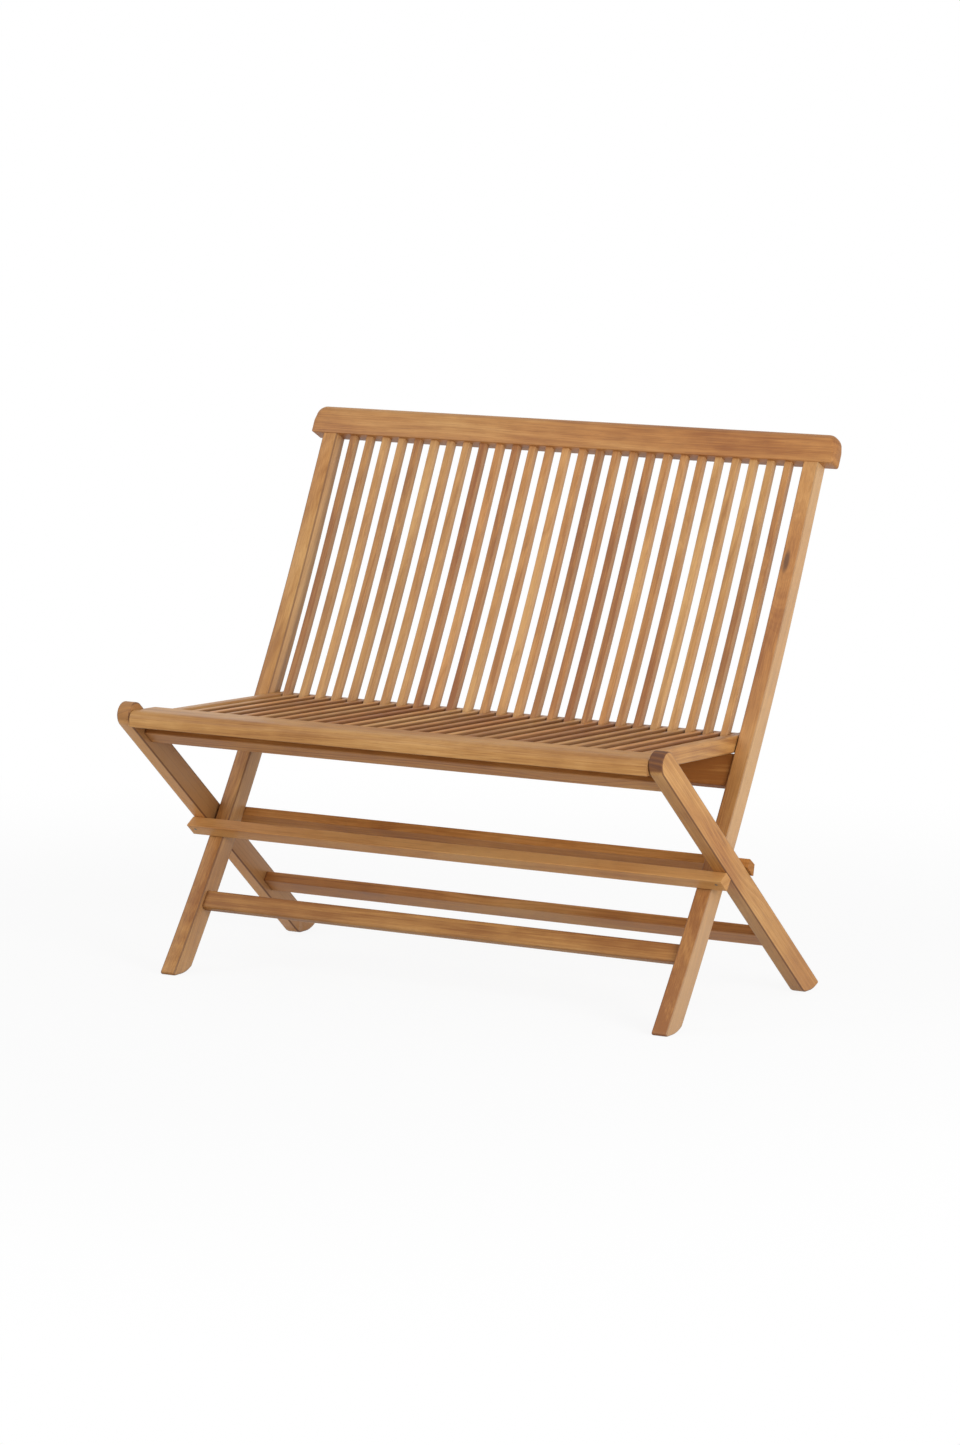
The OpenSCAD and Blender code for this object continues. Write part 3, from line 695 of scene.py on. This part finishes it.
class BENCH_OT_top_rail(bpy.types.Operator):
    """Make the rail across the top of the back"""

    bl_idname = "bench.top_rail"
    bl_label = "Top rail"

    def execute(self, context):
        low, high = Vector((-0.482, -0.0015, 0)), Vector((0.482, 0.0285, 0.050))
        # Rounds of the upper corners, the crest, the lower corners, the ends and the underside
        corner, crest, lower, end, under = 0.019, 0.0115, 0.008, 0.007, 0.0025
        spare, proud, slack = 0.01, 0.00002, 0.0001
        middle = (low.z + high.z) / 2

        def runs(axis):
            return lambda a, b: (b - a).length - abs(b[axis] - a[axis]) < SAME

        def upper_edge(a, b):
            start = high.z - corner
            in_face = abs(a.y - b.y) < SAME
            return in_face and min(a.z, b.z) > start - slack and max(a.z, b.z) > start + slack

        # The rail is what four boards have in common, each rounded along its own edges
        rail = board("top_rail_wood", low - Vector((0, 0, spare)), high)
        round_over(rail, lambda a, b: runs(Y)(a, b) and a.z > middle, corner, 12)
        round_over(rail, upper_edge, crest, 7)
        ends = board(
            "rail_ends", low - Vector((proud, spare, proud)), high + Vector((proud, spare, spare)))
        round_over(ends, lambda a, b: runs(Y)(a, b) and a.z < middle, lower, 6)
        plan = board(
            "rail_plan", low - Vector((proud, proud, spare)), high + Vector((proud, proud, spare)))
        round_over(plan, runs(Z), end, 6)
        section = board(
            "rail_section", low - Vector((spare, proud, 0)), high + Vector((spare, proud, spare)))
        round_over(section, lambda a, b: runs(X)(a, b) and a.z < middle, under, 3)
        common(rail, ends, plan, section)
        place(rail, on_stile(SHOULDER), -TOP_LEAN)
        finish = teak("teak_top_rail", TOP_LEAN, "X", seed=5, tone=0.0, ends=0.15, gloss=0.45,
                      figure=0.6)
        fit(rail, "back_frame", finish, "teak_pale", "top_rail")
        return {"FINISHED"}


class BENCH_OT_back_slats(bpy.types.Operator):
    """Make the bowed slats of the back"""

    bl_idname = "bench.back_slats"
    bl_label = "Back slats"

    def execute(self, context):
        top = length_to(SHOULDER) + HIDDEN_END
        half, front, back = 0.006, 0.005, 0.019
        slat = board("back_slat", (-half, front, 0), (half, back, top))
        lengths(slat, Z, 40)
        bow(slat)
        lean = lean_at(BOARD_TOP)
        up = Vector((0, math.sin(lean), math.cos(lean)))
        saw(slat, on_stile(BOARD_TOP) - up * HIDDEN_END, -up)
        ease(slat, context.scene.bench_edges.slat_round)
        # flanks below 0 paints the slats' sides paler than their faces: painted light.
        finish = teak(
            "teak_back_slats", math.radians(28), pitch=SLAT_PITCH, seed=11, tone=-0.05,
            spread=0.6, painted_side_shading=-0.25)
        for i in range(SLAT_COUNT):
            number = f"{i + 1:02d}"
            one = copied(slat, f"back_slat_{number}_wood", SLAT_PITCH * i - SLAT_FIRST)
            fit(one, "back_frame", finish, "teak_golden", f"back_slat_{number}")
        bpy.data.objects.remove(slat)
        return {"FINISHED"}


class BENCH_OT_back_rails(bpy.types.Operator):
    """Make the lower back rail, the low stretcher and the rail behind the crossing"""

    bl_idname = "bench.back_rails"
    bl_label = "Rails of the back"

    def execute(self, context):
        edges = context.scene.bench_edges
        end = STILE_IN + HIDDEN_END

        front, back, depth = 0.005, 0.022, 0.055
        lean = lean_at(BOARD_TOP)
        lower = board("lower_back_rail_wood", (-end, front, -depth), (end, back, 0))
        place(lower, on_stile(BOARD_TOP), -lean)
        ease(lower, edges.seat_round)
        # Its dark, reddish tone is in part the wood's own and in part painted shade for its place
        # under the seat; joint paints a contact shadow at its ends.
        finish = teak("teak_lower_rail", lean, "X", seed=17, tone=-0.32, straw=0.0,
                      gloss=0.1, joint=STILE_IN)
        fit(lower, "back_frame", finish, "teak_brown", "lower_back_rail")

        front, back, depth = 0.0075, 0.0235, 0.031
        lean = lean_at(STRETCHER_FOOT + depth / 2)
        stretcher = board("front_stretcher_wood", (-end, front, 0), (end, back, depth))
        place(stretcher, on_stile(STRETCHER_FOOT), -lean)
        ease(stretcher, edges.soft_round)
        finish = teak("teak_front_stretcher", lean, "X", seed=23, tone=0.0, gloss=0.3,
                      joint=STILE_IN)
        fit(stretcher, "back_frame", finish, "teak_golden", "front_stretcher")

        # The rail behind the crossing, with a slanting underside that the legs come to rest on
        end, depth = 0.487, 0.015
        lean = lean_at(PIVOT_HEIGHT)
        half = (STILE_FOOT - (STILE_FOOT - STILE_TOP) * PIVOT_HEIGHT / SHOULDER) / 2
        front, back, rear = half + LAID_GAP, half + 0.020, half + 0.027
        base = leg_meets(front)
        middle = board("rear_mid_rail_wood", (-end, front, base), (end, rear, base + depth))
        shift(middle, lambda at: at.y > back and at.z > base + depth / 2, (0, back - rear, 0))
        shift(middle, lambda at: at.y > back and at.z < base + depth / 2,
              (0, 0, leg_meets(rear) - base))
        ease_mid_rail(middle)
        place(middle, PIVOT, -lean)
        # Its dark, reddish tone is in part the wood's own and in part painted shade for its place
        # behind the crossing, under the seat.
        finish = teak("teak_rear_mid_rail", lean, "X", seed=61, tone=-0.17, straw=0.0,
                      gloss=0.1)
        fit(middle, "back_frame", finish, "teak_brown", "rear_mid_rail")
        return {"FINISHED"}


class BENCH_OT_legs(bpy.types.Operator):
    """Make the two legs, with their knuckles and sawn feet"""

    bl_idname = "bench.legs"
    bl_label = "Legs"

    def execute(self, context):
        # A leg is longer than it needs to be until its foot is sawn
        uncut, toe_round = 0.44, 0.008
        leg = board(
            "leg_right_wood", (LEG_IN, -LEG_HALF, -uncut),
            (LEG_OUT, LEG_HALF, LEG_REACH + LEG_HALF))
        # A hair of flat stays between the two rounds of the knuckle
        knuckle = LEG_HALF - 0.0001
        round_over(leg, lambda a, b: min(a.z, b.z) > LEG_REACH and abs(a.y - b.y) < SAME,
                   knuckle, 14)
        lengths(leg, Z, 24)
        place(leg, PIVOT, math.pi / 2 - LEG_RISE)
        tip = PIVOT.y + PIVOT.z / math.tan(LEG_RISE) + LEG_HALF / math.sin(LEG_RISE)
        round_foot(leg, tip - FOOT_LIFT / math.tan(LEG_RISE) - FOOT_RUN, toe_round)
        ease(leg, context.scene.bench_edges.frame_round)
        other = mirrored(leg, "leg_left_wood")
        # edges paints the legs' eased edges darker, as painted shade, and flanks paints the left
        # leg's sides browner, as painted shade under the seat's front rail.
        looks = dict(turn=LEG_RISE - math.pi / 2, edges=0.8, gloss=0.3)
        middle = (LEG_IN + LEG_OUT) / 2
        fit(leg, "leg_frame",
            teak("teak_leg_right", offset=middle, seed=4, tone=0.17, straw=0.75, ends=1.0,
                 **looks),
            "teak_pale", "leg_right")
        fit(other, "leg_frame",
            teak("teak_leg_left", offset=-middle, seed=6, tone=0.33, straw=0.3, ends=0.5,
                 painted_side_shading=0.42, **looks),
            "teak_golden", "leg_left")
        return {"FINISHED"}


class BENCH_OT_leg_rails(bpy.types.Operator):
    """Make the rails between the legs"""

    bl_idname = "bench.leg_rails"
    bl_label = "Rails of the legs"

    def execute(self, context):
        edges = context.scene.bench_edges
        turn = math.pi / 2 - LEG_RISE
        end = LEG_IN + HIDDEN_END
        # Name, two corners of the section in the legs' frame, seed, tone and straw
        rails = (
            ("rear_stretcher", (-0.009, -0.21725), (0.009, -0.18275), 31, 0.02, 0.1),
            ("under_rail", (-0.0105, 0.252), (0.0035, 0.2805), 37, 0.03, 0.3))
        for node, low, high, seed, tone, straw in rails:
            rail = board(node + "_wood", (-end, *low), (end, *high))
            place(rail, PIVOT, turn)
            ease(rail, edges.rail_round)
            finish = teak(
                "teak_" + node, -turn, "X", seed=seed, tone=tone, straw=straw, gloss=0.35,
                joint=LEG_IN)
            fit(rail, "leg_frame", finish, "teak_golden", node)

        # The rail in front of the crossing, with a slanting top that comes to rest on the stiles
        base, depth, slant = 0.016877, 0.029, 0.0085
        back, front = -LEG_HALF - LAID_GAP, -LEG_HALF - 0.022
        centre = (front + back) / 2
        middle = board(
            "front_mid_rail_wood", (-LEG_OUT, front, base), (LEG_OUT, back, base + depth))
        shift(middle, lambda at: at.y > centre and at.z > base + depth / 2, (0, 0, -slant))
        ease_mid_rail(middle)
        place(middle, PIVOT, turn)
        finish = teak("teak_front_mid_rail", -turn, "X", seed=59, tone=0.07, straw=0.35,
                      ends=0.2, gloss=0.25)
        fit(middle, "leg_frame", finish, "teak_golden", "front_mid_rail")

        # A small dark head near each end of this rail
        radius, depth, head_round = 0.0026, 0.003, 0.0006
        along, out, up = 0.4725, 0.0003, 0.035
        deselect_all()
        bpy.ops.mesh.primitive_cylinder_add(
            vertices=20, radius=radius, depth=depth, rotation=(math.pi / 2, 0, 0),
            location=(along, front + depth / 2 - out, up))
        nail = bpy.context.object
        nail.name = nail.data.name = "rail_nail_right"
        bpy.ops.object.transform_apply(location=True, rotation=True, scale=True)
        place(nail, PIVOT, turn)
        ease(nail, head_round)
        finish = steel("nail_head", (0.09, 0.075, 0.06), (0.2, 0.17, 0.14), 0.3)
        fit(mirrored(nail, "rail_nail_left"), "leg_frame", finish, "steel")
        fit(nail, "leg_frame", finish, "steel")
        return {"FINISHED"}


class BENCH_OT_seat_rails(bpy.types.Operator):
    """Make the front, side and rear rails of the seat"""

    bl_idname = "bench.seat_rails"
    bl_label = "Rails of the seat"

    def execute(self, context):
        edges = context.scene.bench_edges

        end, nose, depth, nose_round = 0.4594, 0.0225, 0.017, 0.0128
        front = board("seat_front_rail_wood", (-end, -nose, -depth), (end, SEAT_FRONT, SEAT_TOP))
        round_over(front, lambda a, b: max(a.y, b.y) < 0 and min(a.z, b.z) > 0, nose_round, 8)
        place(front, KNUCKLE, -SEAT_TILT)
        ease(front, edges.front_round)
        finish = teak(
            "teak_seat_front", SEAT_TILT, "X", seed=41, tone=0.09, figure=0.8, gloss=0.3)
        fit(front, "seat", finish, "teak_pale", "seat_front_rail")

        end, thick, depth, top = 0.4295, 0.016, 0.022, 0.006
        rear = board(
            "seat_rear_rail_wood", (-end, SEAT_REACH, -depth), (end, SEAT_REACH + thick, top))
        place(rear, KNUCKLE, -SEAT_TILT)
        ease(rear, edges.soft_round)
        finish = teak("teak_seat_rear", SEAT_TILT, "X", seed=43, tone=-0.04)
        fit(rear, "seat", finish, "teak_golden", "seat_rear_rail")

        inner, outer, depth = 0.409923, 0.4285, 0.018
        side = board(
            "seat_side_right_wood", (inner, SEAT_FRONT - HIDDEN_END, -depth),
            (outer, SEAT_REACH + HIDDEN_END, SEAT_TOP))
        lengths(side, Y, 12)
        place(side, KNUCKLE, -SEAT_TILT)
        ease(side, edges.seat_round)
        # The sides lie one pitch from the middle of the bench, and so differ in their figure
        finish = teak(
            "teak_seat_sides", math.pi / 2 + SEAT_TILT, pitch=0.4192, seed=47, tone=-0.06,
            spread=0.1, straw=0.8)
        other = mirrored(side, "seat_side_left_wood")
        fit(side, "seat", finish, "teak_pale", "seat_side_right")
        fit(other, "seat", finish, "teak_golden", "seat_side_left")
        return {"FINISHED"}


class BENCH_OT_seat_slats(bpy.types.Operator):
    """Make the slats of the seat"""

    bl_idname = "bench.seat_slats"
    bl_label = "Seat slats"

    def execute(self, context):
        half, depth = 0.0065, 0.007
        slat = board(
            "seat_slat", (-half, SEAT_FRONT - HIDDEN_END, -depth),
            (half, SEAT_REACH + HIDDEN_END, SEAT_TOP))
        lengths(slat, Y, 12)
        place(slat, KNUCKLE, -SEAT_TILT)
        ease(slat, context.scene.bench_edges.seat_round)
        # flanks paints the slats' sides browner than their tops: painted shade in the gaps between
        # them.
        finish = teak(
            "teak_seat_slats", math.pi / 2 + SEAT_TILT, pitch=SLAT_PITCH, offset=SLAT_PITCH / 2,
            seed=53, tone=0.02, spread=0.6, painted_side_shading=0.65, gloss=0.3)
        for pair in range((SLAT_COUNT - 1) // 2):
            number = f"{pair + 1:02d}"
            for side in (0, 1):
                x = SLAT_PITCH * (2 * pair + side + 0.5) - SLAT_FIRST
                one = copied(slat, f"seat_slat_{number}_{side + 1}_wood", x)
                fit(one, "seat", finish, "teak_golden", f"seat_slats_{number}")
        bpy.data.objects.remove(slat)
        return {"FINISHED"}


class BENCH_OT_finish_nodes(bpy.types.Operator):
    """Give the pieces that keep their shape their finish"""

    bl_idname = "bench.finish_nodes"
    bl_label = "Finish of the other pieces"

    def execute(self, context):
        metal = steel("plated_steel")
        dowels = teak("teak_dowels", math.pi / 2, seed=59)
        for name, node in frame["nodes"].items():
            node.data.materials.clear()
            node.data.materials.append(dowels if name.endswith("dowels") else metal)
        return {"FINISHED"}


class BENCH_OT_stage(bpy.types.Operator):
    """Set the floor, the lamps and the camera"""

    bl_idname = "bench.stage"
    bl_label = "Stage"

    def execute(self, context):
        stage = context.scene.bench_stage
        self.floor(stage)
        self.world(stage)
        self.lamp("key", (-3.0, -3.0, 2.0), 2.0, stage.key)
        self.lamp("side", (3.2, -1.5, 1.1), 1.6, stage.side)
        self.camera(context)
        return {"FINISHED"}

    def floor(self, stage):
        """A matt floor that the camera and mirroring surfaces see as nearly white."""
        size, below = 14, 0.0006
        deselect_all()
        bpy.ops.mesh.primitive_plane_add(size=size, location=(0, 0, -below))
        floor = bpy.context.object
        floor.name = "floor"
        s = Shade(bpy.data.materials.new("floor_paper"))
        sheet = s.node("BsdfDiffuse", inputs={"Color": tuple(stage.floor), "Roughness": 0.5})
        white = s.node("Emission", inputs={"Color": (1, 1, 1), "Strength": 1.0})
        x, y, _ = s.apart(s.node("TexCoord", out=3))
        away = (x * x + y * y).maths("SQRT").between(*FLOOR_FADE)
        share = self.seen(s) * (away * 0.1 + 0.9)
        mixed = s.node("MixShader", inputs=[share, sheet, white])
        s.node("OutputMaterial", inputs={"Surface": mixed})
        floor.data.materials.append(s.owner)

    def world(self, stage):
        """Even light from all sides, before a white background."""
        world = bpy.data.worlds.new("studio")
        bpy.context.scene.world = world
        s = Shade(world)
        even = s.node("Background", inputs={"Color": (1, 1, 1), "Strength": stage.sky})
        white = s.node("Background", inputs={"Color": (1, 1, 1), "Strength": 1.0})
        mixed = s.node("MixShader", inputs=[self.seen(s), even, white])
        s.node("OutputWorld", inputs={"Surface": mixed})

    def seen(self, s):
        """1 for what the camera sees itself or in a mirroring surface, and otherwise 0."""
        by_camera = s.node("LightPath", out=0)
        in_mirror = s.node("LightPath", out=3)
        return by_camera.maths("MAXIMUM", in_mirror)

    def lamp(self, name, at, size, power):
        """A round lamp that points at the middle of the bench."""
        light = bpy.data.lights.new(name, "AREA")
        light.shape = "DISK"
        light.size = size
        light.energy = power
        lamp = bpy.data.objects.new(name, light)
        lamp.location = at
        lamp.rotation_euler = (LAMP_AIM - Vector(at)).to_track_quat("-Z", "Y").to_euler()
        bpy.context.scene.collection.objects.link(lamp)

    def camera(self, context):
        """The photograph's camera."""
        yaw, pitch, roll = (math.radians(turn) for turn in CAMERA_TURN)
        back = Vector((
            math.sin(yaw) * math.cos(pitch), -math.cos(yaw) * math.cos(pitch), math.sin(pitch)))
        level = Vector((math.cos(yaw), math.sin(yaw), 0))
        above = back.cross(level)
        right = math.cos(roll) * level + math.sin(roll) * above
        up = math.cos(roll) * above - math.sin(roll) * level
        view = bpy.data.cameras.new("photo_view")
        view.sensor_fit = "VERTICAL"
        view.sensor_height = 36
        view.lens = LENS / PHOTO_HIGH * view.sensor_height
        view.shift_x = -(MIDDLE_X - PHOTO_WIDE / 2) / PHOTO_HIGH
        view.shift_y = (MIDDLE_Y - PHOTO_HIGH / 2) / PHOTO_HIGH
        view.clip_end = 100
        camera = bpy.data.objects.new("photo_view", view)
        turn = Matrix((right, up, back)).transposed().to_4x4()
        camera.matrix_world = Matrix.Translation(TOE + CAMERA_FROM_TOE) @ turn
        context.scene.collection.objects.link(camera)
        context.scene.camera = camera
        context.scene.view_settings.view_transform = "Standard"


class BENCH_PT_panel(bpy.types.Panel):
    """Buttons that make the bench piece by piece"""

    bl_idname = "BENCH_PT_panel"
    bl_label = "Folding bench"
    bl_space_type = "VIEW_3D"
    bl_region_type = "UI"
    bl_category = "Bench"

    def draw(self, context):
        scene = context.scene
        for group in (scene.bench_wood, scene.bench_edges, scene.bench_stage):
            column = self.layout.column(align=True)
            for name in group.__annotations__:
                column.prop(group, name)
        for operator in OPERATORS:
            self.layout.operator(operator.bl_idname)


OPERATORS = (
    BENCH_OT_finish_nodes, BENCH_OT_stiles, BENCH_OT_top_rail, BENCH_OT_back_slats,
    BENCH_OT_back_rails, BENCH_OT_legs, BENCH_OT_leg_rails, BENCH_OT_seat_rails,
    BENCH_OT_seat_slats, BENCH_OT_stage)
CLASSES = (BenchWood, BenchEdges, BenchStage, *OPERATORS, BENCH_PT_panel)


def register():
    """Registers the classes and the settings."""
    for cls in CLASSES:
        bpy.utils.register_class(cls)
    bpy.types.Scene.bench_wood = PointerProperty(type=BenchWood)
    bpy.types.Scene.bench_edges = PointerProperty(type=BenchEdges)
    bpy.types.Scene.bench_stage = PointerProperty(type=BenchStage)


def unregister():
    """Takes the settings and the classes away again."""
    for name in ("bench_wood", "bench_edges", "bench_stage"):
        delattr(bpy.types.Scene, name)
    for cls in reversed(CLASSES):
        bpy.utils.unregister_class(cls)


def main():
    """Makes the bench and the stage."""
    register()
    bpy.ops.bench.finish_nodes()
    bpy.ops.bench.stiles()
    bpy.ops.bench.top_rail()
    bpy.ops.bench.back_slats()
    bpy.ops.bench.back_rails()
    bpy.ops.bench.legs()
    bpy.ops.bench.leg_rails()
    bpy.ops.bench.seat_rails()
    bpy.ops.bench.seat_slats()
    bpy.ops.bench.stage()


if __name__ == "__main__":
    main()
